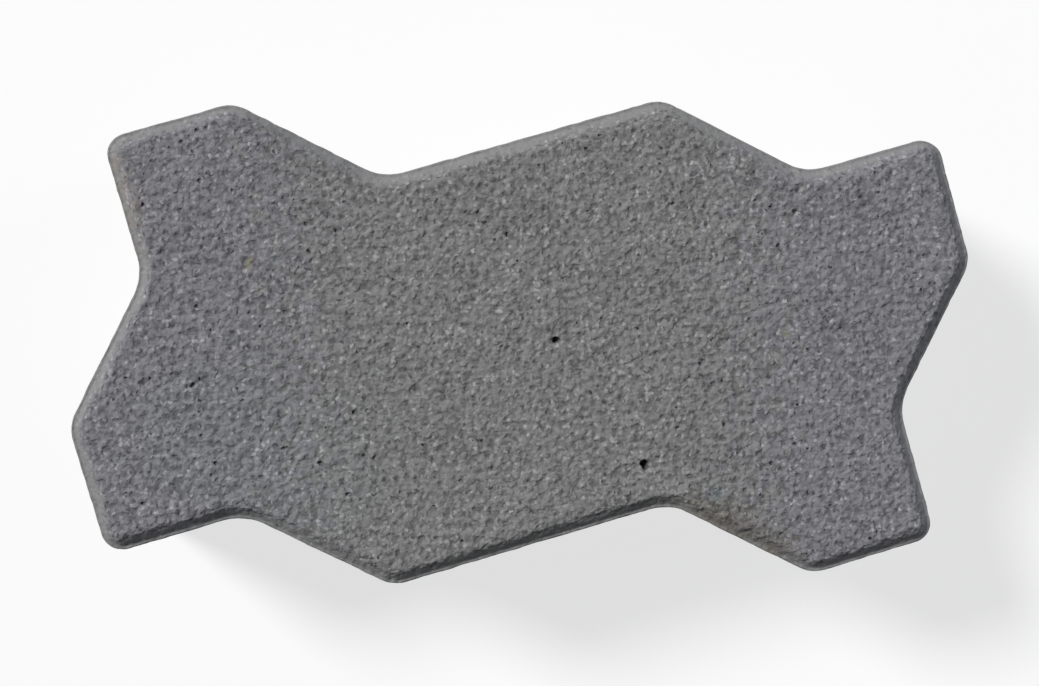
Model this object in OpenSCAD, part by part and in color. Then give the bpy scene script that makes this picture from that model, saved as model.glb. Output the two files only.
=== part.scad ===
// Zigzag interlocking paving stone, pressed in one piece from concrete.
// Every side is drawn from one zigzag unit, so stones laid side by side or
// turned a quarter lock into each other with an even joint.
// Frame: +X along the stone, +Z up, origin at the middle of the bed face.

/* [Laying module] */
// Pitch of the stones across their width, and length of one zigzag unit
pitch = 112.5; // [100:0.5:130]
// Zigzag units along the long sides
long_units = 2; // [1:1:3]
// Sand joint left between two laid stones
joint = 4; // [2:0.5:6]

/* [Zigzag] */
// Distance of a peak from the start of its unit, along the side
peak_run = 37; // [32:0.5:42]
// Height of a peak over the module line, and depth of a valley under it
peak_rise = 10; // [6:0.5:13]
// Radius of the four end corners, on the walking face
corner_r = 2.5; // [1:0.5:6]
// Radius of the rounded peaks, on the walking face
peak_r = 6.5; // [2:0.5:12]

/* [Height] */
// Height from the bed face to the walking face
thickness = 60; // [40:5:120]

/* [Bevel] */
// Flat ledge at the foot of the bevel, along the top of the wall
ledge_w = 1; // [0.5:0.25:2]
// Width of the bevel's slope, seen from above
bevel_w = 2.5; // [1.5:0.5:6]
// Height of the bevel
bevel_h = 2.5; // [1.5:0.5:6]

/* [Hidden] */

concrete = "#747476";

module_l = long_units * pitch;
module_w = pitch;

// The wall stands half a joint inside the module line, and the walking face
// lies inside the wall by the ledge and the bevel.
wall_inset = joint / 2;
face_inset = ledge_w + bevel_w;
wall_corner_r = corner_r + face_inset;
wall_peak_r = peak_r + face_inset;
// A valley takes the next stone's peak with the joint all round it.
wall_valley_r = wall_peak_r + joint;

ledge_z = thickness - bevel_h;
// How far the crown reaches into the block under it
crown_sunk = 1;
// Largest turn between two points of a rounded corner, in degrees
arc_step = 7.5;

function unit(v) = v / norm(v);
function inward(direction) = [direction[1], -direction[0]];
function heading(v) = atan2(v[1], v[0]);
function turned(point, angle) = [
    point[0] * cos(angle) - point[1] * sin(angle),
    point[0] * sin(angle) + point[1] * cos(angle)
];

// One side along +X from its end corner, then a peak and a valley in each unit:
// every corner as its place and its radius on the wall
function side_corners(units) = [
    [[0, 0], wall_corner_r],
    for (i = [0 : units - 1]) each [
        [[i * pitch + peak_run, peak_rise], wall_peak_r],
        [[(i + 1) * pitch - peak_run, -peak_rise], wall_valley_r]
    ]
];

// The module outline, clockwise: each side's units, end corner and heading
sides = [
    [long_units, [-module_l / 2, module_w / 2], 0],
    [1, [module_l / 2, module_w / 2], -90],
    [long_units, [module_l / 2, -module_w / 2], 180],
    [1, [-module_l / 2, -module_w / 2], 90]
];
corners = [
    for (side = sides, c = side_corners(side[0])) [side[1] + turned(c[0], side[2]), c[1]]
];
count = len(corners);

function place(i) = corners[i % count][0];
function wall_radius(i) = corners[i % count][1];
function edge(i) = unit(place(i + 1) - place(i));
function edge_before(i) = edge(i + count - 1);

// Degrees that the outline turns left at a corner, below zero where it stands out
function turn(i) =
    let (before = edge_before(i), after = edge(i))
    atan2(before[0] * after[1] - before[1] * after[0], before * after);

// A sharp corner after both its edges have moved inwards
function moved_in(i, distance) =
    let (a = inward(edge_before(i)), b = inward(edge(i)))
    place(i) + distance * (a + b) / (1 + a * b);

// A rounded corner of the outline that lies inside the wall by an inset.
// Its centre is the same for every inset, so the ledge and the bevel keep their width.
function corner_points(i, inset) =
    let (
        side = turn(i) < 0 ? 1 : -1,
        centre = moved_in(i, wall_inset + side * wall_radius(i)),
        reach = side * wall_radius(i) - inset,
        start = heading(-inward(edge_before(i))),
        steps = ceil(abs(turn(i)) / arc_step)
    )
    [for (k = [0 : steps]) centre + reach * turned([1, 0], start + turn(i) * k / steps)];

function outline_points(inset) = [for (i = [0 : count - 1]) each corner_points(i, inset)];

// Middles of the zigzag units, which the end faces of a loft fan out from
middles = [for (i = [0 : long_units - 1]) (i + 0.5) * pitch - module_l / 2];
function nearest_middle(p) =
    max(0, min(long_units - 1, floor((p[0] + module_l / 2) / pitch)));

// A solid through the outlines of a list of [inset, height] sections, lowest first
module lofted(sections) {
    rings = [for (s = sections) [for (p = outline_points(s[0])) [p[0], p[1], s[1]]]];
    n = len(rings[0]);
    last = len(sections) - 1;
    foot_middle = n * len(sections);
    top_middle = foot_middle + long_units;
    fan = [for (p = rings[0]) nearest_middle(p)];
    polyhedron(
        points = [
            for (ring = rings) each ring,
            for (k = [0, last], x = middles) [x, 0, sections[k][1]]
        ],
        faces = [
            for (i = [0 : n - 1]) let (next = (i + 1) % n) each [
                for (k = [0 : last - 1])
                    [k * n + i, k * n + next, (k + 1) * n + next, (k + 1) * n + i],
                [foot_middle + fan[i], next, i],
                [top_middle + fan[i], last * n + i, last * n + next],
                if (fan[i] != fan[next]) each [
                    [foot_middle + fan[i], foot_middle + fan[next], next],
                    [top_middle + fan[i], last * n + next, top_middle + fan[next]]
                ]
            ]
        ]
    );
}

// The block as the mould's walls shape it, up to the ledge
module block() {
    linear_extrude(ledge_z) polygon(outline_points(0));
}

// The top as the bevelled press plate shapes it
module crown() {
    lofted([
        [ledge_w, ledge_z - crown_sunk],
        [ledge_w, ledge_z],
        [face_inset, thickness]
    ]);
}

module paving_stone() {
    color(concrete) union() {
        block();
        crown();
    }
}

paving_stone();
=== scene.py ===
import math

import bpy
import numpy as np
from mathutils import Matrix, Vector
from mathutils.geometry import delaunay_2d_cdt


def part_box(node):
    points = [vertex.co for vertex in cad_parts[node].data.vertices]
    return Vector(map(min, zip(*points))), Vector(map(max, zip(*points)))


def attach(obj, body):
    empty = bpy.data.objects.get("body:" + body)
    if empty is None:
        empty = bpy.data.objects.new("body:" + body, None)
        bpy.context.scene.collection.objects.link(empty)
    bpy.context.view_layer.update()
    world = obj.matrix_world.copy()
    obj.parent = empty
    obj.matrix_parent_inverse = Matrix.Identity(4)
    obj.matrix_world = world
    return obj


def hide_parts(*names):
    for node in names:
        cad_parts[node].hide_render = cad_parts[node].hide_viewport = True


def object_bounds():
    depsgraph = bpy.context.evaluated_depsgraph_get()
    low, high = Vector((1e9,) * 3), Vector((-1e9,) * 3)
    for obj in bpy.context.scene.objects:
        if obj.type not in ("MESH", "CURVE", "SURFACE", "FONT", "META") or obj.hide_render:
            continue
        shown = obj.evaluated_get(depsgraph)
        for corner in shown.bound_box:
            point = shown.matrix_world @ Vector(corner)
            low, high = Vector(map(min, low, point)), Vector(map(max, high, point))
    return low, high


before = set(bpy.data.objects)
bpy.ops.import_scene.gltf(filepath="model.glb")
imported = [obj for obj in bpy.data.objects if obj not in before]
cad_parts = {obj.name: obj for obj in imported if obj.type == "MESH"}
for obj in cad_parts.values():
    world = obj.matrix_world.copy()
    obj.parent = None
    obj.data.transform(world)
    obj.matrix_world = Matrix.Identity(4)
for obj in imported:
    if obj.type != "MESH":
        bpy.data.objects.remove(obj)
cad_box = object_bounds()

# Lengths are in metres. Patterns in the node trees are in millimetres, because the grain is that fine.
MM = 0.001
MICRON = 1e-6

# Edges of the stone, from the bed up to the walking face
BED_EDGE_RADIUS = 0.8 * MM
LIP_WIDTH = 0.65 * MM
LIP_DROP = 0.9 * MM
LEDGE_WIDTH = 1.0 * MM
BEVEL_FOOT_RADIUS = 0.4 * MM
BEVEL_WIDTH = 2.5 * MM
BEVEL_HEIGHT = 2.5 * MM
BEVEL_CREST_RADIUS = 1.8 * MM
RIM_INSET = 4.8 * MM

# Spacing of the mesh's points
OUTLINE_STEP = 0.8 * MM
WALL_STEP = 1.7 * MM
FACE_STEP = 0.68 * MM
BED_STEP = 2.6 * MM
ARC_STEPS = 3
# How far inside a face's edge its other points start, as a share of their spacing
EDGE_CLEARANCE = 0.6

# The larger pores in the walking face: place from the stone's middle and width, in millimetres
LARGE_PORES = [
    (30.5, -33, 2.5),
    (7.5, 0.5, 1.9),
    (-7, -1, 1.1),
    (64.5, -33.5, 1.1),
    (76, -42, 1.1),
    (83, -39.5, 0.9),
    (48.5, -32.5, 1.1),
    (87.5, -36, 0.9),
    (67, -52.5, 1.1),
    (-87.5, -9.5, 1.3),
    (-82, -30, 1.2),
    (-64.5, -26.5, 1.1),
    (-55, -30.5, 1.3),
    (-48, -39, 1.2),
    (-101, -40, 1.1),
    (-46, -17.5, 1.2),
    (-84.5, 43.5, 1.3),
    (-57.5, 32, 1),
    (-49.5, 30, 1.2),
    (-11, 31.5, 1.1),
    (-5, 28.5, 1.2),
    (39, 36, 1),
    (71.5, 33.5, 1.2),
    (89.5, 37, 1.1),
    (67, 24.5, 1.2),
    (50.5, 22, 1),
    (81.5, 11.5, 1.1),
    (44, -19.5, 1),
    (52, -23, 1),
    (49, -12, 1),
    (71, -28.5, 1),
    (-85.5, -8, 1.1),
    (-42.5, -17, 1),
    (61, 36.5, 1),
    (-99, 37.5, 1.1),
    (-86, 11, 1.1),
    (-60.5, 48.5, 1),
]
# Rings of points across a pore: share of its radius, depth as a share of its radius, and painted shade, how
# much its colour is darkened there
PORE_RINGS = [(1.25, 0.0, 0.0), (1.0, 0.35, 0.65), (0.8, 1.1, 0.9), (0.45, 1.5, 0.9)]
PORE_SIDES = 12
# Waves in a pore's edge: how many round it, and how high as a share of its radius
PORE_WAVES = [(2, 0.15), (3, 0.1), (5, 0.07)]
# Pores narrower than this are shallower and get less painted shade
FULL_PORE_WIDTH = 2.3 * MM
# How far round a pore's middle the mesh's other points are kept away, as a share of its radius
PORE_REACH = 1.45

# Pores strewn over the wall and the bed
WALL_PORES = 110
BED_PORES = 60
OPEN_PORE_SIDES = 9
OPEN_PORE_WIDTHS = (1.3 * MM, 2.7 * MM)
OPEN_PORE_GAP = 6.5 * MM
OPEN_PORE_CLEARANCE = 3.0 * MM

SEED = 7

# Camera over the stone, a little left of and behind its middle, as the photograph was taken
PHOTO_WIDTH = 1039
CAMERA_PLACE = Vector((-27.4, 11.3, 453.4)) * MM
CAMERA_ROLL = math.radians(0.992)
CAMERA_LEAN_X = math.radians(1.654)
CAMERA_LEAN_Y = math.radians(3.652)
CAMERA_FOCAL_PIXELS = 1500
SENSOR_WIDTH_MM = 36

# Light from behind the stone's left end, with a weak one from the right: bearing and height in
# degrees, strength, and width across in degrees
KEY_LIGHT = (145, 38.5, 4.5, 16)
KEY_COLOUR = (1.0, 0.995, 0.985)
FILL_LIGHT = (18, 8, 1.4, 30)
FILL_COLOUR = (0.88, 0.92, 1.0)
SKY_STRENGTH = 0.04
SKY_COLOUR = (0.75, 0.84, 1.0)
SKY_SEEN = 0.95
FLOOR_GREY = 0.25
FLOOR_GLOW = 0.5
FLOOR_GLOW_SEEN = 0.72
FLOOR_HALF_WIDTH = 20.0
FLOOR_GAP = 0.2 * MM
WHITE = (1, 1, 1, 1)


# The stone's form

def bed_outline(stone):
    """The corner points of the bed face's edge, in order, counter-clockwise seen from above."""
    mesh = stone.data
    mesh.calc_loop_triangles()
    low = round(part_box(stone.name)[0].z / MICRON)
    steps = set()
    for triangle in mesh.loop_triangles:
        spots = [tuple(round(c / MICRON) for c in mesh.vertices[v].co) for v in triangle.vertices]
        if all(spot[2] == low for spot in spots):
            steps.update(zip(spots, spots[1:] + spots[:1]))
    after = {b: a for a, b in steps if (b, a) not in steps}
    loop = [min(after)]
    while after[loop[-1]] != loop[0]:
        loop.append(after[loop[-1]])
    return np.array(loop)[:, :2] * MICRON


def unit_rows(rows):
    """The same directions, each of length one."""
    return rows / np.linalg.norm(rows, axis=1, keepdims=True)


def fine_outline(corners):
    """Points close together along the outline, and the outward direction at each."""
    edges = np.roll(corners, -1, axis=0) - corners
    edge_out = unit_rows(np.column_stack((edges[:, 1], -edges[:, 0])))
    corner_out = unit_rows(edge_out + np.roll(edge_out, 1, axis=0))
    points, outward = [], []
    for i, edge in enumerate(edges):
        count = max(1, round(np.linalg.norm(edge) / OUTLINE_STEP))
        shares = np.arange(count)[:, None] / count
        points.append(corners[i] + shares * edge)
        outward.append((1 - shares) * corner_out[i] + shares * corner_out[(i + 1) % len(corners)])
    return np.concatenate(points), unit_rows(np.concatenate(outward))


def arc(inset, height, width, rise, start, end):
    """Rows of an edge rounded about a centre, from one angle to another in degrees."""
    angles = [math.radians(start + (end - start) * k / ARC_STEPS) for k in range(ARC_STEPS + 1)]
    return [(inset + width * math.cos(a), height + rise * math.sin(a)) for a in angles]


def between(first, last, step):
    """Rows between two rows, about a step apart, without the two themselves."""
    count = max(1, round(math.dist(first, last) / step))
    return [tuple(np.array(first) + (np.array(last) - first) * k / count) for k in range(1, count)]


def section(bed_z, face_z):
    """How far inside the wall and how high each row of points is, under the wall and over it."""
    up, out, down, half_turn = 90, 180, 270, 180
    slope = math.atan2(BEVEL_HEIGHT, BEVEL_WIDTH)
    slope_out = up + math.degrees(slope)
    ledge_z = face_z - BEVEL_HEIGHT
    bed_r, foot_r, crest_r = BED_EDGE_RADIUS, BEVEL_FOOT_RADIUS, BEVEL_CREST_RADIUS
    foot_inset = LEDGE_WIDTH - foot_r * math.tan(slope / 2)
    crest_inset = LEDGE_WIDTH + BEVEL_WIDTH + crest_r * math.tan(slope / 2)
    bed_edge = arc(bed_r, bed_z + bed_r, bed_r, bed_r, down, out)
    lip = arc(LIP_WIDTH, ledge_z - LIP_DROP, LIP_WIDTH, LIP_DROP, out, up)
    foot = arc(foot_inset, ledge_z + foot_r, foot_r, foot_r, down, half_turn + slope_out)
    crest = arc(crest_inset, face_z - crest_r, crest_r, crest_r, slope_out, up)
    slope_rows = between(foot[-1], crest[0], FACE_STEP)
    return bed_edge, lip + foot + slope_rows + crest + [(RIM_INSET, face_z)]


def row_leans(rows):
    """How much the surface at each row looks outwards and how much upwards."""
    steps = unit_rows(np.diff(np.array(rows), axis=0))
    before, after = np.vstack((steps[:1], steps)), np.vstack((steps, steps[-1:]))
    return unit_rows(before + after)[:, ::-1]


def lattice_inside(loop, step):
    """Points of a triangular lattice inside a loop, and how far each is from the loop."""
    low, high = loop.min(0), loop.max(0)
    row_step = step * math.sqrt(3) / 2
    starts, ends = loop, np.roll(loop, -1, axis=0)
    kept, gaps = [], []
    for k in range(int((high[1] - low[1]) / row_step) + 1):
        y = low[1] + k * row_step
        xs = np.arange(low[0] + (k % 2) * step / 2, high[0], step)
        row = np.column_stack((xs, np.full(len(xs), y)))
        crossed = (starts[:, 1] > y) != (ends[:, 1] > y)
        a, b = starts[crossed], ends[crossed]
        crossings = a[:, 0] + (y - a[:, 1]) * (b[:, 0] - a[:, 0]) / (b[:, 1] - a[:, 1])
        inside = (row[:, :1] > crossings).sum(1) % 2 == 1
        gap = np.linalg.norm(row[inside][:, None] - loop[None], axis=2).min(1, initial=np.inf)
        clear = gap > EDGE_CLEARANCE * step
        kept.append(row[inside][clear])
        gaps.append(gap[clear])
    return np.concatenate(kept), np.concatenate(gaps)


def filled(loop, points):
    """Triangles over a loop and the points inside it, numbered with the loop's points first."""
    count = len(loop)
    spots = [Vector(p) for p in np.concatenate((loop, points))]
    rim = [(i, (i + 1) % count) for i in range(count)]
    inside_only = 1
    _, _, faces, origins, _, _ = delaunay_2d_cdt(spots, rim, [], inside_only, MICRON)
    first_use = [uses[0] for uses in origins]
    return [tuple(first_use[v] for v in face) for face in faces]


def pore_share(width):
    """How much of its full depth and painted shade a pore of a width has."""
    return min(1.0, width / FULL_PORE_WIDTH)


def pore_points(pores, sides, generator):
    """Points round and in each pore, as place and depth, with an uneven edge, and how much painted shade
    each gets.
    """
    _, floor_depth, floor_dark = PORE_RINGS[-1]
    points, painted_shade = [], []
    for x, y, width in pores:
        radius, full = width / 2, pore_share(width)
        lobes = generator.uniform(0, 2 * math.pi, len(PORE_WAVES))
        for share, depth, dark in PORE_RINGS:
            for k in range(sides):
                a = 2 * math.pi * k / sides
                waves = zip(PORE_WAVES, lobes)
                uneven = 1 + sum(size * math.sin(n * a + lobe) for (n, size), lobe in waves)
                reach = radius * share * uneven
                points.append((x + reach * math.cos(a), y + reach * math.sin(a), depth * radius * full))
                painted_shade.append(dark * full)
        points.append((x, y, floor_depth * radius * full))
        painted_shade.append(floor_dark * full)
    return np.array(points), np.array(painted_shade)


def strewn_pores(loop, step, wanted, generator):
    """Pores of uneven width inside a loop, none near another or the loop."""
    spots, gaps = lattice_inside(loop, step)
    pores = []
    for spot in generator.permutation(spots[gaps > OPEN_PORE_CLEARANCE]):
        if len(pores) < wanted and all(math.dist(spot, other[:2]) > OPEN_PORE_GAP for other in pores):
            pores.append((*spot, generator.uniform(*OPEN_PORE_WIDTHS)))
    return pores


class Patch:
    """A face laid out flat and cut up into triangles, with pores sunk into it."""

    def __init__(self, loop, step, pores, sides, generator):
        lattice, gaps = lattice_inside(loop, step)
        clear = np.ones(len(lattice), bool)
        for x, y, width in pores:
            clear &= np.linalg.norm(lattice - (x, y), axis=1) > PORE_REACH * width / 2
        sunk, dark = pore_points(pores, sides, generator)
        self.places = np.concatenate((lattice[clear], sunk[:, :2]))
        self.depths = np.concatenate((np.zeros(clear.sum()), sunk[:, 2]))
        # Painted shade of each point, how much its colour is darkened inside a pore
        self.painted_shade = np.concatenate((np.zeros(clear.sum()), dark))
        # A pore's own points count as well inside the face
        self.gaps = np.concatenate((gaps[clear], np.full(len(sunk), RIM_INSET)))
        self.triangles = filled(loop, self.places)

    def faces(self, numbers):
        """The triangles by the mesh's own numbers of the loop's points and of the others."""
        return [tuple(int(numbers[v]) for v in triangle) for triangle in self.triangles]


class Form:
    """A mesh in the making: its points, what each of them carries, and its faces."""

    def __init__(self):
        self.points, self.outward, self.inset, self.pore, self.faces = [], [], [], [], []
        self.count = 0

    def add(self, points, outward, inset=0.0, pore=0.0):
        """Adds points with the way out at each, and gives their numbers."""
        self.points.append(points)
        self.outward.append(np.broadcast_to(outward, points.shape))
        self.inset.append(np.broadcast_to(inset, len(points)))
        self.pore.append(np.broadcast_to(pore, len(points)))
        self.count += len(points)
        return np.arange(self.count - len(points), self.count)

    def band(self, lower, upper):
        """Joins two closed rows of points by a band of faces."""
        self.faces += zip(lower, np.roll(lower, -1), np.roll(upper, -1), upper)

    def mesh(self):
        """The form as a mesh, with what its points carry as attributes."""
        mesh = bpy.data.meshes.new("paving_stone_form")
        faces = [tuple(int(v) for v in face) for face in self.faces]
        mesh.from_pydata(np.concatenate(self.points), [], faces)
        # The pore attribute carries the painted shade inside pores
        for name, values in (("inset", self.inset), ("pore", self.pore)):
            made = mesh.attributes.new(name, "FLOAT", "POINT")
            made.data.foreach_set("value", np.concatenate(values).astype(np.float32))
        made = mesh.attributes.new("outward", "FLOAT_VECTOR", "POINT")
        made.data.foreach_set("vector", np.concatenate(self.outward).astype(np.float32).ravel())
        return mesh


class WallFlat:
    """The wall laid out flat, from an upright seam round to the same seam again."""

    def __init__(self, outline, outward, low, high):
        steps = np.linalg.norm(np.roll(outline, -1, axis=0) - outline, axis=1)
        self.lengths = np.concatenate(([0.0], np.cumsum(steps)))
        self.outline = np.vstack((outline, outline[:1]))
        self.outward = np.vstack((outward, outward[:1]))
        self.seam = np.linspace(low, high, round((high - low) / WALL_STEP) + 1)[1:-1]
        along, end = self.lengths, np.full(len(self.seam), self.lengths[-1])
        self.loop = np.concatenate((
            np.column_stack((along, np.full(len(along), low))),
            np.column_stack((end, self.seam)),
            np.column_stack((along[::-1], np.full(len(along), high))),
            np.column_stack((0 * end, self.seam[::-1])),
        ))

    def folded(self, places, depths=0.0):
        """Points of the flat wall folded round the stone, and the way out at each."""
        at = [np.interp(places[:, 0], self.lengths, column) for column in self.outline.T]
        out = [np.interp(places[:, 0], self.lengths, column) for column in self.outward.T]
        outward = np.column_stack((unit_rows(np.column_stack(out)), np.zeros(len(places))))
        points = np.column_stack((*at, places[:, 1]))
        return points - outward * np.reshape(depths, (-1, 1)), outward


def add_edges(form, outline, outward, rows, wall_foot):
    """Adds a ring of points for each row, joined by bands except across the wall."""
    rings, numbers = [], []
    for (inset, z), (out, up) in zip(rows, row_leans(rows)):
        ring = np.column_stack((outline - outward * inset, np.full(len(outline), z)))
        looks = np.column_stack((outward * out, np.full(len(outline), up)))
        rings.append(ring)
        numbers.append(form.add(ring, looks, inset / MM))
    for k in range(len(rows) - 1):
        if k != wall_foot:
            form.band(numbers[k], numbers[k + 1])
    return rings, numbers


def add_walking_face(form, ring, numbers, generator):
    """Fills the ring at the rim of the walking face, with the larger pores in it."""
    pores = np.array(LARGE_PORES) * MM
    face = Patch(ring[:, :2], FACE_STEP, pores, PORE_SIDES, generator)
    places = np.column_stack((face.places, ring[0, 2] - face.depths))
    inner = form.add(places, (0, 0, 1), (RIM_INSET + face.gaps) / MM, face.painted_shade)
    form.faces += face.faces(np.concatenate((numbers, inner)))


def add_bed(form, ring, numbers, generator):
    """Fills the ring at the edge of the bed, with strewn pores in it."""
    rim = ring[:, :2]
    pores = strewn_pores(rim, BED_STEP, BED_PORES, generator)
    bed = Patch(rim, BED_STEP, pores, OPEN_PORE_SIDES, generator)
    places = np.column_stack((bed.places, ring[0, 2] + bed.depths))
    inner = form.add(places, (0, 0, -1), 0.0, bed.painted_shade)
    form.faces += [face[::-1] for face in bed.faces(np.concatenate((numbers, inner)))]


def add_wall(form, flat, lower, upper, generator):
    """Fills the wall between its lower and upper ring, with strewn pores in it."""
    pores = strewn_pores(flat.loop, WALL_STEP, WALL_PORES, generator)
    wall = Patch(flat.loop, WALL_STEP, pores, OPEN_PORE_SIDES, generator)
    seam = form.add(*flat.folded(np.column_stack((np.zeros(len(flat.seam)), flat.seam))))
    inner = form.add(*flat.folded(wall.places, wall.depths), 0.0, wall.painted_shade)
    around = np.arange(len(lower) + 1) % len(lower)
    loop = (lower[around], seam, upper[around[::-1]], seam[::-1])
    form.faces += wall.faces(np.concatenate(loop + (inner,)))


def stone_form(stone):
    """The stone's smooth form as a closed mesh, fine on the walking face and coarser below."""
    low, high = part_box(stone.name)
    outline, outward = fine_outline(bed_outline(stone))
    under, over = section(low.z, high.z)
    rows = under + over
    foot, head = len(under) - 1, len(under)
    generator = np.random.default_rng(SEED)
    form = Form()
    rings, numbers = add_edges(form, outline, outward, rows, foot)
    add_walking_face(form, rings[-1], numbers[-1], generator)
    add_bed(form, rings[0], numbers[0], generator)
    flat = WallFlat(outline, outward, rows[foot][1], rows[head][1])
    add_wall(form, flat, numbers[foot], numbers[head], generator)
    return form.mesh()


# Node trees

NUMBER = "NodeSocketFloat"
PLACE = "NodeSocketVector"
GEOMETRY = "NodeSocketGeometry"
MESH_TREE = "GeometryNodeTree"
FINISH_TREE = "ShaderNodeTree"
GROUP_NODES = {MESH_TREE: "GeometryNodeGroup", FINISH_TREE: "ShaderNodeGroup"}
NODE_SPACING = 200
NOISE_MIDDLE = 0.5


class Tree:
    """A node tree, with short ways to add nodes to it and join them."""

    def __init__(self, tree):
        self.tree = tree

    def node(self, kind, plugs=None, **settings):
        """Adds a node. A plug is a value or another node's output."""
        made = self.tree.nodes.new(kind)
        made.location.x = NODE_SPACING * len(self.tree.nodes)
        for name, value in settings.items():
            setattr(made, name, value)
        for name, value in (plugs or {}).items():
            self.plug(value, made.inputs[name])
        return made

    def plug(self, value, socket):
        """Joins an output to an input, or sets the input to a value."""
        if isinstance(value, bpy.types.NodeSocket):
            self.tree.links.new(value, socket)
        else:
            socket.default_value = value

    def math(self, operation, a, b=0.0):
        """One step of arithmetic on two values."""
        return self.node("ShaderNodeMath", {0: a, 1: b}, operation=operation).outputs[0]

    def minus(self, a, b):
        """The difference of two values."""
        return self.math("SUBTRACT", a, b)

    def times(self, *values):
        """The product of several values."""
        product = values[0]
        for value in values[1:]:
            product = self.math("MULTIPLY", product, value)
        return product

    def plus(self, *values):
        """The sum of several values."""
        total = values[0]
        for value in values[1:]:
            total = self.math("ADD", total, value)
        return total

    def vector(self, operation, a, b):
        """One step of arithmetic on two vectors."""
        return self.node("ShaderNodeVectorMath", {0: a, 1: b}, operation=operation).outputs["Vector"]

    def scaled(self, vector, factor):
        """A vector times a value."""
        made = self.node("ShaderNodeVectorMath", {"Vector": vector, "Scale": factor}, operation="SCALE")
        return made.outputs["Vector"]

    def ramp(self, value, start, end, first=0.0, last=1.0):
        """A smooth change from one value to another while the input runs from start to end."""
        plugs = {"Value": value, "From Min": start, "From Max": end, "To Min": first, "To Max": last}
        return self.node("ShaderNodeMapRange", plugs, interpolation_type="SMOOTHSTEP").outputs["Result"]

    def noise(self, place, size, detail=2.0, roughness=0.5, output="Fac"):
        """Soft noise whose largest patches are about a size across."""
        made = self.node("ShaderNodeTexNoise", {"Vector": place, "Detail": detail, "Roughness": roughness})
        self.plug(self.math("DIVIDE", 1.0, size), made.inputs["Scale"])
        return made.outputs[output]

    def swing(self, place, size, detail=2.0, roughness=0.5):
        """Soft noise that lies about zero."""
        return self.minus(self.noise(place, size, detail, roughness), NOISE_MIDDLE)

    def drifted(self, place, size, reach):
        """A place that noise of a size moves about, by up to half a reach each way."""
        drift = self.noise(place, size, detail=1.0, output="Color")
        drift = self.vector("SUBTRACT", drift, (NOISE_MIDDLE, NOISE_MIDDLE, NOISE_MIDDLE))
        return self.vector("ADD", place, self.scaled(drift, reach))

    def cells(self, place, size):
        """Scattered points about a size apart: how far the nearest is, and its own random numbers."""
        made = self.node("ShaderNodeTexVoronoi", {"Vector": place})
        self.plug(self.math("DIVIDE", 1.0, size), made.inputs["Scale"])
        return made.outputs["Distance"], self.parts(made.outputs["Color"])

    def parts(self, vector):
        """The three numbers of a vector or colour."""
        return self.node("ShaderNodeSeparateXYZ", {0: vector}).outputs

    def mix(self, share, a, b):
        """A value between two others, which this node takes at plugs 2 and 3."""
        return self.node("ShaderNodeMix", {0: share, 2: a, 3: b}, data_type="FLOAT").outputs[0]

    def mix_colour(self, share, a, b):
        """A colour between two others, which this node takes at plugs 6 and 7."""
        return self.node("ShaderNodeMix", {0: share, 6: a, 7: b}, data_type="RGBA").outputs[2]

    def group(self, group, plugs):
        """Places a node group."""
        made = self.node(GROUP_NODES[group.bl_idname], node_tree=group)
        for name, value in plugs.items():
            self.plug(value, made.inputs[name])
        return made.outputs


def new_group(name, kind, inputs):
    """An empty node group with named inputs, as the tree's helper and its inputs' sockets."""
    group = bpy.data.node_groups.new(name, kind)
    for title, socket_kind, value in inputs:
        socket = group.interface.new_socket(title, in_out="INPUT", socket_type=socket_kind)
        if value is not None:
            socket.default_value = value
    tree = Tree(group)
    return tree, tree.node("NodeGroupInput").outputs


def close_group(tree, outputs):
    """Gives a node group its named outputs."""
    for title, (socket_kind, value) in outputs.items():
        tree.tree.interface.new_socket(title, in_out="OUTPUT", socket_type=socket_kind)
    end = tree.node("NodeGroupOutput")
    for title, (socket_kind, value) in outputs.items():
        tree.plug(value, end.inputs[title])
    return tree.tree


# Patterns. A ramp is given by where it starts and ends, and by its values there.

# Pressed sand: lumps, crumbs and grains share its height, and grains move and stand proud unevenly
CRUMB_SIZE = 1.68
GRAIN_SIZE = 1.06
LUMP_SHARE = 0.29
CRUMB_SHARE = 0.41
GRAIN_SHARE = 0.3
LUMP_RAMP = (0.28, 0.68, 0.0, 1.0)
GRAIN_STEEPNESS = 1.25
LOWEST_GRAIN = 0.35
GRAIN_DRIFT = 1.2
# Tones of the grains: some are darker and some lighter than the cement, and like ones crowd together
CROWD_SIZE = 7.0
CROWD_SHARE = 0.4
DARK_GRAIN_RAMP = (0.0, 0.27, 0.47, 1.0)
LIGHT_GRAIN_RAMP = (0.74, 1.0, 1.0, 1.58)
GRAIN_EDGE_RAMP = (0.72, 0.3, 0.0, 1.0)


def rounded_grain(tree, distance, own):
    """Height of a rounded grain that stands more or less proud of the others."""
    far = tree.math("MINIMUM", tree.times(distance, GRAIN_STEEPNESS), 1.0)
    return tree.times(tree.minus(1.0, tree.times(far, far)), tree.mix(own, LOWEST_GRAIN, 1.0))


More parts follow.
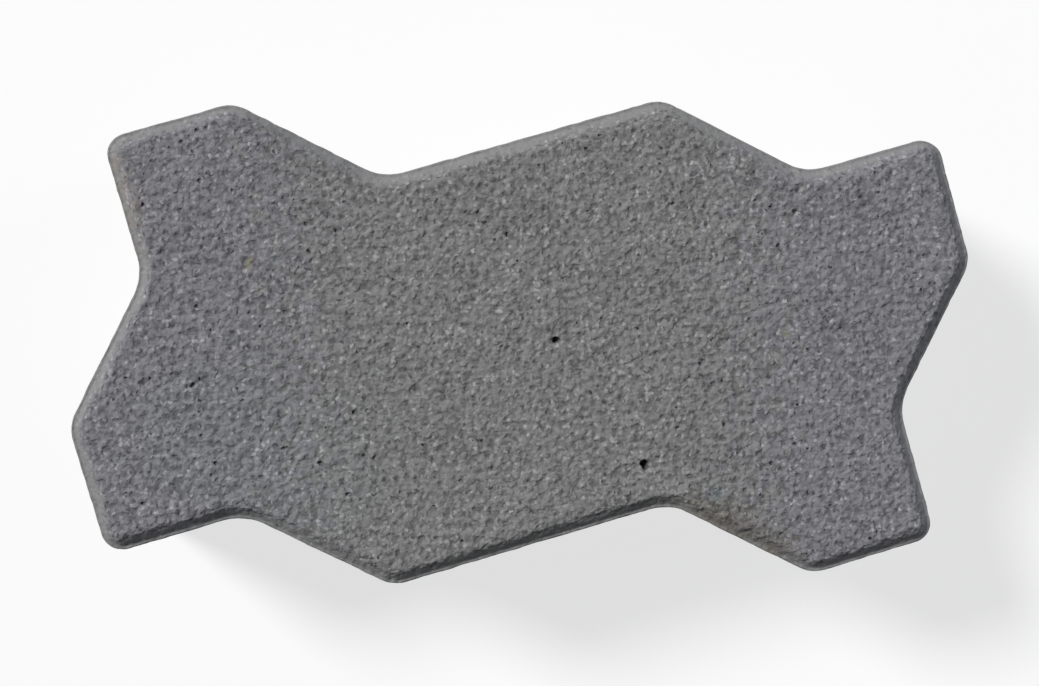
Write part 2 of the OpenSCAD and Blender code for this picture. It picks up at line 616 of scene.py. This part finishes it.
def pressed_sand(kind):
    """Crumbs of sand and cement with gaps between them, and the tone of each grain."""
    tree, given = new_group("Pressed sand", kind, [
        ("Place", PLACE, None),
        ("Crumb Size", NUMBER, CRUMB_SIZE),
        ("Grain Size", NUMBER, GRAIN_SIZE),
    ])
    spot = tree.drifted(given["Place"], given["Grain Size"], tree.times(given["Grain Size"], GRAIN_DRIFT))
    lumps = tree.ramp(tree.noise(spot, given["Crumb Size"], detail=1.0), *LUMP_RAMP)
    crumb_distance, crumb_own = tree.cells(spot, given["Crumb Size"])
    crumbs = rounded_grain(tree, crumb_distance, crumb_own[0])
    distance, own = tree.cells(spot, given["Grain Size"])
    grains = rounded_grain(tree, distance, own[0])
    height = tree.plus(
        tree.times(lumps, LUMP_SHARE),
        tree.times(crumbs, CRUMB_SHARE),
        tree.times(grains, GRAIN_SHARE),
    )
    sort = tree.plus(own[1], tree.times(tree.swing(given["Place"], CROWD_SIZE), CROWD_SHARE))
    own_tone = tree.times(tree.ramp(sort, *DARK_GRAIN_RAMP), tree.ramp(sort, *LIGHT_GRAIN_RAMP))
    tone = tree.mix(tree.ramp(distance, *GRAIN_EDGE_RAMP), 1.0, own_tone)
    return close_group(tree, {"Height": (NUMBER, height), "Grain Tone": (NUMBER, tone)})


SKIN_PATCH_SIZE = 9.0


def bevel_skin(kind):
    """Where the bevel's smooth skin of cement lies, with an uneven border to the grains."""
    tree, given = new_group("Bevel skin", kind, [
        ("Place", PLACE, None),
        ("Inset", NUMBER, 0.0),
        ("Border", NUMBER, 2.4),
        ("Border Width", NUMBER, 0.8),
        ("Wander", NUMBER, 5.0),
    ])
    wander = tree.swing(given["Place"], SKIN_PATCH_SIZE, detail=4.0, roughness=0.7)
    reach = tree.plus(given["Inset"], tree.times(wander, given["Wander"]))
    start = tree.minus(given["Border"], given["Border Width"])
    end = tree.plus(given["Border"], given["Border Width"])
    return close_group(tree, {"Skin": (NUMBER, tree.ramp(reach, start, end, 1.0, 0.0))})


# Pinholes: how their edges are drawn out, their narrowest and shallowest, and their walls
HOLE_EDGE_SIZE = 1.2
HOLE_DRIFT = 0.9
NARROWEST_HOLE = 0.45
SHALLOWEST_HOLE = 0.35
HOLE_RAMP = (0.2, 1.15, 1.0, 0.0)


def pinholes(kind):
    """Scattered small holes of several widths."""
    tree, given = new_group("Pinholes", kind, [
        ("Place", PLACE, None),
        ("Spacing", NUMBER, 3.2),
        ("Hole Width", NUMBER, 1.2),
        ("Share", NUMBER, 0.46),
    ])
    spot = tree.drifted(given["Place"], HOLE_EDGE_SIZE, tree.times(given["Hole Width"], HOLE_DRIFT))
    distance, own = tree.cells(spot, given["Spacing"])
    there = tree.math("LESS_THAN", own[0], given["Share"])
    radius = tree.times(given["Hole Width"], 0.5, tree.mix(own[1], NARROWEST_HOLE, 1.0))
    apart = tree.math("DIVIDE", tree.times(distance, given["Spacing"]), radius)
    depth = tree.mix(own[2], SHALLOWEST_HOLE, 1.0)
    hole = tree.times(there, depth, tree.ramp(apart, *HOLE_RAMP))
    return close_group(tree, {"Hole": (NUMBER, hole)})


# The cement gets cooler from the stone's middle to its ends, in flecks
COOL_END_RAMP = (15.0, 108.0, 0.0, 1.0)
COOL_FLECK_SIZE = 4.0
COOL_FLECK_SHARE = 1.8
COOL_RAMP = (0.3, 0.7, 0.0, 1.0)


def cement_mottle(kind):
    """Patches where the cement is lighter or darker, and cooler or warmer."""
    tree, given = new_group("Cement mottle", kind, [
        ("Place", PLACE, None),
        ("Patch Size", NUMBER, 13.0),
        ("Contrast", NUMBER, 0.1),
    ])
    patch = tree.swing(given["Place"], given["Patch Size"], detail=4.0, roughness=0.6)
    tone = tree.plus(1.0, tree.times(patch, given["Contrast"], 2.0))
    along = tree.math("ABSOLUTE", tree.parts(given["Place"])[0])
    fleck = tree.swing(given["Place"], COOL_FLECK_SIZE, roughness=0.6)
    cover = tree.plus(tree.ramp(along, *COOL_END_RAMP), tree.times(fleck, COOL_FLECK_SHARE))
    return close_group(tree, {"Tone": (NUMBER, tone), "Coolness": (NUMBER, tree.ramp(cover, *COOL_RAMP))})


TINT_RAMP = (0.2, 1.0, 1.0, 0.0)


def tint_patch(kind):
    """A soft patch round a middle, with an edge that the unevenness draws in or out."""
    tree, given = new_group("Tint patch", kind, [
        ("Place", PLACE, None),
        ("Unevenness", NUMBER, 1.0),
        ("Middle", PLACE, None),
        ("Reach", NUMBER, 5.0),
    ])
    apart = tree.node("ShaderNodeVectorMath", {0: given["Place"], 1: given["Middle"]}, operation="DISTANCE")
    away = tree.math("DIVIDE", tree.times(apart.outputs["Value"], given["Unevenness"]), given["Reach"])
    return close_group(tree, {"Stain": (NUMBER, tree.ramp(away, *TINT_RAMP))})


# Relief. Sizes and depths are in millimetres.

RELIEF = {
    "Crumb Size": CRUMB_SIZE,
    "Crumb Depth": 0.55,
    "Swell Size": 6.0,
    "Swell Depth": 0.16,
    "Bevel Grain": 0.5,
    "Crest Wear": 0.25,
    "Drag Depth": 0.35,
    "Wall Crumb Size": 5.0,
    "Wall Grain Size": 3.6,
    "Mould Level": 0.55,
    "Wall Depth": 1.5,
}
# Heights over which the relief of the wall gives way to that of the top and of the bed
TOP_BLEND = 0.5
BED_RAMP = (0.1, 1.2, 1.0, 0.0)
# How far below the lip's rounding the walking face's finish reaches
LIP_MARGIN = 0.05
# Wear of the bevel's crest, by distance from it and in broken stretches
CREST_RAMP = (1.8, 0.4, 0.0, 1.0)
BROKEN_SIZE = 3.0
BROKEN_RAMP = (0.42, 0.72, 0.0, 1.0)
# Drag marks run from top to bottom, and gaps in the wall are shallow close under the lip
DRAG_STRETCH = (1.0, 1.0, 0.06)
DRAG_SIZE = 5.0
LIP_RAMP = (0.0, 4.0, 0.25, 1.0)
# Faces that look down more than this are the bed's
BED_FACING = -0.5


def carried(tree, name, kind):
    """What the mesh carries at its points, for a tree that shapes it."""
    return tree.node("GeometryNodeInputNamedAttribute", {"Name": name}, data_type=kind).outputs[0]


def top_dip(tree, given, place, grain, skin):
    """How deep the walking face and the bevel are pressed in."""
    inset = carried(tree, "inset", "FLOAT")
    grains = tree.group(grain, {"Place": place, "Crumb Size": given["Crumb Size"]})
    grain_dip = tree.times(tree.minus(1.0, grains["Height"]), given["Crumb Depth"])
    swell_dip = tree.times(tree.noise(place, given["Swell Size"]), given["Swell Depth"])
    smooth = tree.group(skin, {"Place": place, "Inset": inset})["Skin"]
    grain_share = tree.mix(smooth, 1.0, given["Bevel Grain"])
    usual_dip = tree.times(0.5, tree.plus(given["Crumb Depth"], given["Swell Depth"]))
    sand_dip = tree.mix(grain_share, usual_dip, tree.plus(grain_dip, swell_dip))
    from_crest = tree.math("ABSOLUTE", tree.minus(inset, given["Crest Inset"]))
    broken = tree.ramp(tree.noise(place, BROKEN_SIZE), *BROKEN_RAMP)
    wear_dip = tree.times(tree.ramp(from_crest, *CREST_RAMP), broken, given["Crest Wear"])
    return tree.plus(sand_dip, wear_dip)


def open_dip(tree, given, place, grain):
    """How deep the gaps are between the grains that lie flat against the mould."""
    sizes = {"Crumb Size": given["Wall Crumb Size"], "Grain Size": given["Wall Grain Size"]}
    grains = tree.group(grain, {"Place": place, **sizes})
    gap = tree.math("MAXIMUM", tree.minus(given["Mould Level"], grains["Height"]), 0.0)
    return tree.times(gap, given["Wall Depth"])


def wall_dip(tree, given, place, height, gaps):
    """How deep the wall is pressed in, by gaps and by drag marks."""
    under_lip = tree.minus(given["Lip Foot"], height)
    drag = tree.noise(tree.vector("MULTIPLY", place, DRAG_STRETCH), DRAG_SIZE, detail=3.0, roughness=0.6)
    return tree.plus(
        tree.times(gaps, tree.ramp(under_lip, *LIP_RAMP)),
        tree.times(drag, given["Drag Depth"]),
    )


def relief_tree(grain, skin, finishes, values):
    """Presses the grain of the concrete into a smooth form, always inwards."""
    sizes = [(title, NUMBER, value) for title, value in values.items()]
    tree, given = new_group("Pressed concrete", MESH_TREE, [("Geometry", GEOMETRY, None), *sizes])
    tree.tree.is_modifier = True
    place = tree.scaled(tree.node("GeometryNodeInputPosition").outputs[0], 1 / MM)
    kept = tree.node(
        "GeometryNodeStoreNamedAttribute",
        {"Geometry": given["Geometry"], "Name": "rest", "Value": place},
        data_type="FLOAT_VECTOR", domain="POINT",
    ).outputs[0]

    height = tree.parts(place)[2]
    on_top = tree.ramp(height, tree.minus(given["Wall Top"], TOP_BLEND), given["Wall Top"])
    on_bed = tree.ramp(height, *BED_RAMP)
    on_wall = tree.minus(tree.minus(1.0, on_top), on_bed)
    gaps = open_dip(tree, given, place, grain)
    dip = tree.plus(
        tree.times(on_top, top_dip(tree, given, place, grain, skin)),
        tree.times(on_wall, wall_dip(tree, given, place, height, gaps)),
        tree.times(on_bed, gaps),
    )
    outward = carried(tree, "outward", "FLOAT_VECTOR")
    inward = tree.scaled(outward, tree.times(dip, -MM))
    shaped = tree.node("GeometryNodeSetPosition", {"Geometry": kept, "Offset": inward}).outputs[0]
    smoothed = tree.node("GeometryNodeSetShadeSmooth", {0: shaped}).outputs[0]
    whole = tree.node("GeometryNodeRealizeInstances", {0: smoothed}).outputs[0]

    for finish, chosen in (
        (finishes["wall"], True),
        (finishes["walking face"], tree.math("GREATER_THAN", height, given["Lip Foot"])),
        (finishes["bed"], tree.math("LESS_THAN", tree.parts(outward)[2], BED_FACING)),
    ):
        plugs = {"Geometry": whole, "Selection": chosen, "Material": finish}
        whole = tree.node("GeometryNodeSetMaterial", plugs).outputs[0]
    return close_group(tree, {"Geometry": (GEOMETRY, whole)})


# Finishes

GREY_CEMENT = (0.193, 0.1933, 0.1928, 1)
COOL_CEMENT = (0.190, 0.188, 0.203, 1)
CEMENT_SPECULAR = 0.25

# Stains in the walking face, and painted warm light on the lit bevel at its left end: place and reach in
# millimetres, and what they do to the colour
BROWN = (0.87, 0.83, 0.76, 1)
LIT_BEVEL_WARMTH = (1.05, 1.0, 0.92, 1)
STRAW = (1.18, 1.12, 0.86, 1)
TEAL = (0.88, 0.99, 1.05, 1)
PALE_TEAL = (0.975, 1.005, 1.0, 1)
DUST = (0.88, 0.88, 0.88, 1)
STAINS_AND_WARM_LIGHT = [
    (46.0, -46.0, 9.0, BROWN),
    (55.0, -51.0, 11.0, BROWN),
    (65.0, -56.5, 9.0, BROWN),
    # Painted warm light: a lighter, warmer tint where the key light falls on the bevel at the left end
    (-108.0, 49.0, 6.0, LIT_BEVEL_WARMTH),
    (-106.0, 42.0, 7.0, LIT_BEVEL_WARMTH),
    (-104.0, 34.0, 7.0, LIT_BEVEL_WARMTH),
    (-103.0, 26.0, 6.0, LIT_BEVEL_WARMTH),
    (-72.0, 23.0, 1.1, STRAW),
    (-72.5, 21.8, 1.1, STRAW),
    (-73.0, 20.6, 1.0, STRAW),
    (68.5, 1.2, 1.4, STRAW),
    (-65.6, 22.9, 1.4, TEAL),
    (49.0, -41.5, 4.0, TEAL),
    (-82.0, -22.0, 34.0, PALE_TEAL),
    (-58.0, -33.0, 24.0, PALE_TEAL),
    (-70.0, 59.0, 7.0, DUST),
    (-62.0, 55.0, 8.0, DUST),
    (-54.0, 51.0, 8.0, DUST),
    (-46.0, 47.5, 7.0, DUST),
]
TINT_EDGE_SIZE = 3.0
TINT_EDGE_RAMP = (0.25, 0.75, 0.55, 1.6)

# The walking face, and what the bevel's skin keeps of its grain, coolness and relief
# Painted shade: the pit ramp darkens the gaps between grains by their depth, and the hole shade darkens
# pinholes and pores
FACE_PIT_SHADE_RAMP = (0.05, 0.6, 0.63, 1.08)
FACE_HOLE_SHADE = 0.2
CRUMB_RELIEF = 0.5
GRIT_SIZE = 0.7
GRIT_RELIEF = 0.03
HOLE_RELIEF = -0.5
FACE_ROUGHNESS = 0.95
SKIN_GRAIN_LOSS = 0.6
SKIN_COOLNESS = 0.3
SKIN_RELIEF = 0.5
SKIN_ROUGHNESS = 0.85

# The wall and the bed, which no press plate has closed
# Painted shade: the cavity ramps darken the gaps between grains by their depth, and the open hole shade
# darkens pores and pinholes
OPEN_HOLE_SHADE = 0.3
WALL_LOOK = {
    "sand": {"Crumb Size": 2.6, "Grain Size": 1.5},
    "pinholes": {"Spacing": 3.0, "Hole Width": 1.5},
    "mottle": {},
    "cavity ramp": (0.1, 0.6, 0.84, 1.03),
    "grain loss": 0.5,
    "grain relief": 0.4,
    "hole relief": -0.7,
}
WALL_DRAG_SIZE = 1.6
WALL_DRAG_RAMP = (0.25, 0.75, 0.95, 1.05)
WALL_DRAG_RELIEF = 0.3
WALL_ROUGHNESS = (0.98, 0.86)
BED_LOOK = {
    "sand": {"Crumb Size": 2.8, "Grain Size": 1.4},
    "pinholes": {"Spacing": 3.0, "Hole Width": 1.7},
    "mottle": {"Patch Size": 18.0},
    "cavity ramp": (0.05, 0.55, 0.72, 1.04),
    "grain loss": 0.35,
    "grain relief": 0.6,
    "hole relief": -0.8,
}
BED_ROUGHNESS_RAMP = (0.2, 0.8, 0.98, 0.9)


def new_material(name):
    """A new material, as itself, its tree's helper and its shader."""
    material = bpy.data.materials.new(name)
    material.use_nodes = True
    return material, Tree(material.node_tree), material.node_tree.nodes["Principled BSDF"]


def attribute(tree, name, output="Fac"):
    """What the mesh carries at its points, for a finish."""
    return tree.node("ShaderNodeAttribute", attribute_name=name).outputs[output]


def cement_colour(tree, coolness, tone):
    """Grey or cooler cement, lighter or darker by a tone."""
    return tree.scaled(tree.mix_colour(coolness, GREY_CEMENT, COOL_CEMENT), tone)


def finish_concrete(tree, shader, colour, height, roughness):
    """Joins colour, fine relief in millimetres and roughness to the shader."""
    shader.inputs["Specular IOR Level"].default_value = CEMENT_SPECULAR
    tree.plug(colour, shader.inputs["Base Color"])
    tree.plug(roughness, shader.inputs["Roughness"])
    bump = tree.node("ShaderNodeBump", {"Height": height, "Distance": MM, "Strength": 1.0})
    tree.plug(bump.outputs["Normal"], shader.inputs["Normal"])


def stained_and_warm_lit(tree, groups, place, colour):
    """A colour with the walking face's stains on it, and with painted warm light on the lit bevel at its
    left end.
    """
    edge = tree.noise(place, TINT_EDGE_SIZE, roughness=0.6)
    uneven = tree.ramp(edge, *TINT_EDGE_RAMP)
    face_height = cad_box[1][2] / MM
    # Stains, and painted warm light on the lit left-end bevel
    for x, y, reach, tint in STAINS_AND_WARM_LIGHT:
        patch = {"Place": place, "Unevenness": uneven, "Middle": (x, y, face_height), "Reach": reach}
        tint_share = tree.group(groups["tint_share"], patch)["Stain"]
        colour = tree.vector("MULTIPLY", colour, tree.mix_colour(tint_share, WHITE, tint))
    return colour


def walking_face_material(groups):
    """Sandy pressed concrete with painted shade in its gaps, pinholes and pores, and a smoother, lighter
    skin on the bevel that gets no painted gap shade.
    """
    material, tree, shader = new_material("concrete walking face")
    place = attribute(tree, "rest", "Vector")
    skin = tree.group(groups["skin"], {"Place": place, "Inset": attribute(tree, "inset")})["Skin"]
    sand = tree.group(groups["sand"], {"Place": place})
    mottle = tree.group(groups["mottle"], {"Place": place})
    holes = tree.group(groups["pinholes"], {"Place": place})["Hole"]
    holes = tree.times(holes, tree.minus(1.0, skin))

    # Painted shade in the gaps between grains, which the bevel's skin doesn't get
    pit_shade = tree.mix(skin, tree.ramp(sand["Height"], *FACE_PIT_SHADE_RAMP), 1.0)
    grain_tone = tree.mix(tree.times(skin, SKIN_GRAIN_LOSS), sand["Grain Tone"], 1.0)
    # Painted shade in the pinholes and the pores
    hole_shade = tree.mix(holes, 1.0, FACE_HOLE_SHADE)
    pore_shade = tree.mix(attribute(tree, "pore"), 1.0, FACE_HOLE_SHADE)
    tone = tree.times(pit_shade, grain_tone, tree.times(hole_shade, pore_shade), mottle["Tone"])
    coolness = tree.times(mottle["Coolness"], tree.mix(skin, 1.0, SKIN_COOLNESS))
    colour = stained_and_warm_lit(tree, groups, place, cement_colour(tree, coolness, tone))

    height = tree.plus(
        tree.times(sand["Height"], CRUMB_RELIEF, tree.mix(skin, 1.0, SKIN_RELIEF)),
        tree.times(tree.noise(place, GRIT_SIZE, detail=1.0), GRIT_RELIEF),
        tree.times(holes, HOLE_RELIEF),
    )
    finish_concrete(tree, shader, colour, height, tree.mix(skin, FACE_ROUGHNESS, SKIN_ROUGHNESS))
    return material


def open_face(tree, groups, place, look):
    """Grain height, tone with painted shade in its gaps and holes, coolness and fine relief of a face that
    no press plate has closed.
    """
    sand = tree.group(groups["sand"], {"Place": place, **look["sand"]})
    holes = tree.group(groups["pinholes"], {"Place": place, **look["pinholes"]})["Hole"]
    mottle = tree.group(groups["mottle"], {"Place": place, **look["mottle"]})
    # Painted shade in the gaps between grains, and in the pores and pinholes
    pit_shade = tree.ramp(sand["Height"], *look["cavity ramp"])
    grain_tone = tree.mix(look["grain loss"], sand["Grain Tone"], 1.0)
    hollow_shade = tree.math("MAXIMUM", attribute(tree, "pore"), holes)
    tone = tree.times(pit_shade, grain_tone, mottle["Tone"], tree.mix(hollow_shade, 1.0, OPEN_HOLE_SHADE))
    relief = tree.plus(
        tree.times(sand["Height"], look["grain relief"]),
        tree.times(holes, look["hole relief"]),
    )
    return sand["Height"], tone, mottle["Coolness"], relief


def wall_material(groups):
    """Concrete that slid out of the mould: drag marks from top to bottom and open holes."""
    material, tree, shader = new_material("concrete wall")
    place = attribute(tree, "rest", "Vector")
    _, tone, coolness, relief = open_face(tree, groups, place, WALL_LOOK)
    streaks = tree.vector("MULTIPLY", place, DRAG_STRETCH)
    drag = tree.noise(streaks, WALL_DRAG_SIZE, detail=3.0, roughness=0.65)
    colour = cement_colour(tree, coolness, tree.times(tone, tree.ramp(drag, *WALL_DRAG_RAMP)))
    height = tree.plus(relief, tree.times(drag, WALL_DRAG_RELIEF))
    finish_concrete(tree, shader, colour, height, tree.mix(drag, *WALL_ROUGHNESS))
    return material


def bed_material(groups):
    """The open, coarse face that the stone stood on while it hardened."""
    material, tree, shader = new_material("concrete bed")
    place = attribute(tree, "rest", "Vector")
    grains, tone, coolness, relief = open_face(tree, groups, place, BED_LOOK)
    colour = cement_colour(tree, coolness, tone)
    finish_concrete(tree, shader, colour, relief, tree.ramp(grains, *BED_ROUGHNESS_RAMP))
    return material


def floor_material():
    """Pale matt studio floor that glows a little, so that its shadow stays faint."""
    material, tree, shader = new_material("studio floor")
    shader.inputs["Base Color"].default_value = (FLOOR_GREY, FLOOR_GREY, FLOOR_GREY, 1)
    shader.inputs["Roughness"].default_value = 1.0
    shader.inputs["Specular IOR Level"].default_value = 0.0
    shader.inputs["Emission Color"].default_value = WHITE
    seen = tree.node("ShaderNodeLightPath").outputs["Is Camera Ray"]
    tree.plug(tree.mix(seen, FLOOR_GLOW, FLOOR_GLOW_SEEN), shader.inputs["Emission Strength"])
    return material


# The stone

def set_inputs(modifier, values):
    """Sets a modifier's inputs, found by their names in its tree."""
    for item in modifier.node_group.interface.items_tree:
        if item.item_type == "SOCKET" and item.in_out == "INPUT" and item.name in values:
            modifier[item.identifier] = float(values[item.name])


def pressed(mesh, tree, values):
    """A piece whose mesh is the given form after the tree has shaped it."""
    piece = bpy.data.objects.new("paving_stone_concrete", mesh)
    bpy.context.scene.collection.objects.link(piece)
    modifier = piece.modifiers.new("pressed concrete", "NODES")
    modifier.node_group = tree
    set_inputs(modifier, values)
    shaped = piece.evaluated_get(bpy.context.evaluated_depsgraph_get())
    finished = bpy.data.meshes.new_from_object(shaped)
    piece.modifiers.remove(modifier)
    piece.data = finished
    return piece


def make_stone():
    """The whole stone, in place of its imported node."""
    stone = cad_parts["paving_stone"]
    groups = {
        "sand": pressed_sand(FINISH_TREE),
        "skin": bevel_skin(FINISH_TREE),
        "pinholes": pinholes(FINISH_TREE),
        "mottle": cement_mottle(FINISH_TREE),
        "tint_share": tint_patch(FINISH_TREE),
    }
    finishes = {
        "walking face": walking_face_material(groups),
        "wall": wall_material(groups),
        "bed": bed_material(groups),
    }
    wall_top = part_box("paving_stone")[1].z - BEVEL_HEIGHT
    values = {
        **RELIEF,
        "Wall Top": wall_top / MM,
        "Lip Foot": (wall_top - LIP_DROP) / MM - LIP_MARGIN,
        "Crest Inset": (LEDGE_WIDTH + BEVEL_WIDTH) / MM,
    }
    tree = relief_tree(pressed_sand(MESH_TREE), bevel_skin(MESH_TREE), finishes, values)
    piece = pressed(stone_form(stone), tree, values)
    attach(piece, "root")
    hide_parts("paving_stone")


# The stage

def make_floor():
    """A wide pale floor under the stone."""
    half = FLOOR_HALF_WIDTH
    corners = [(-half, -half, 0), (half, -half, 0), (half, half, 0), (-half, half, 0)]
    mesh = bpy.data.meshes.new("studio_floor")
    mesh.from_pydata(corners, [], [(0, 1, 2, 3)])
    mesh.materials.append(floor_material())
    floor = bpy.data.objects.new("studio_floor", mesh)
    bpy.context.scene.collection.objects.link(floor)
    floor.location.z = cad_box[0][2] - FLOOR_GAP


def make_light(name, colour, bearing, height, strength, width):
    """A soft light that shines from a bearing and a height, all in degrees."""
    data = bpy.data.lights.new(name, "SUN")
    data.color = colour
    data.energy = strength
    data.angle = math.radians(width)
    light = bpy.data.objects.new(name, data)
    bpy.context.scene.collection.objects.link(light)
    turn, rise = math.radians(bearing), math.radians(height)
    towards = Vector((math.cos(rise) * math.cos(turn), math.cos(rise) * math.sin(turn), math.sin(rise)))
    light.rotation_euler = towards.to_track_quat("Z", "Y").to_euler()


def make_lights():
    """Two soft lights, and a dim sky that the camera sees as pale."""
    make_light("key_light", KEY_COLOUR, *KEY_LIGHT)
    make_light("fill_light", FILL_COLOUR, *FILL_LIGHT)
    world = bpy.data.worlds.new("studio")
    world.use_nodes = True
    bpy.context.scene.world = world
    tree = Tree(world.node_tree)
    background = world.node_tree.nodes["Background"]
    seen = tree.node("ShaderNodeLightPath").outputs["Is Camera Ray"]
    tree.plug(tree.mix(seen, SKY_STRENGTH, SKY_SEEN), background.inputs["Strength"])
    tree.plug(tree.mix_colour(seen, (*SKY_COLOUR, 1), WHITE), background.inputs["Color"])
    bpy.context.scene.view_settings.view_transform = "Standard"


def make_camera():
    """A camera where the photograph was taken from."""
    data = bpy.data.cameras.new("photo_camera")
    data.sensor_width = SENSOR_WIDTH_MM
    data.lens = CAMERA_FOCAL_PIXELS / PHOTO_WIDTH * SENSOR_WIDTH_MM
    camera = bpy.data.objects.new("photo_camera", data)
    bpy.context.scene.collection.objects.link(camera)
    turn = (
        Matrix.Rotation(-CAMERA_LEAN_Y, 4, "Y")
        @ Matrix.Rotation(-CAMERA_LEAN_X, 4, "X")
        @ Matrix.Rotation(-CAMERA_ROLL, 4, "Z")
    )
    camera.matrix_world = Matrix.Translation(CAMERA_PLACE) @ turn
    bpy.context.scene.camera = camera


make_camera()
make_lights()
make_floor()
make_stone()
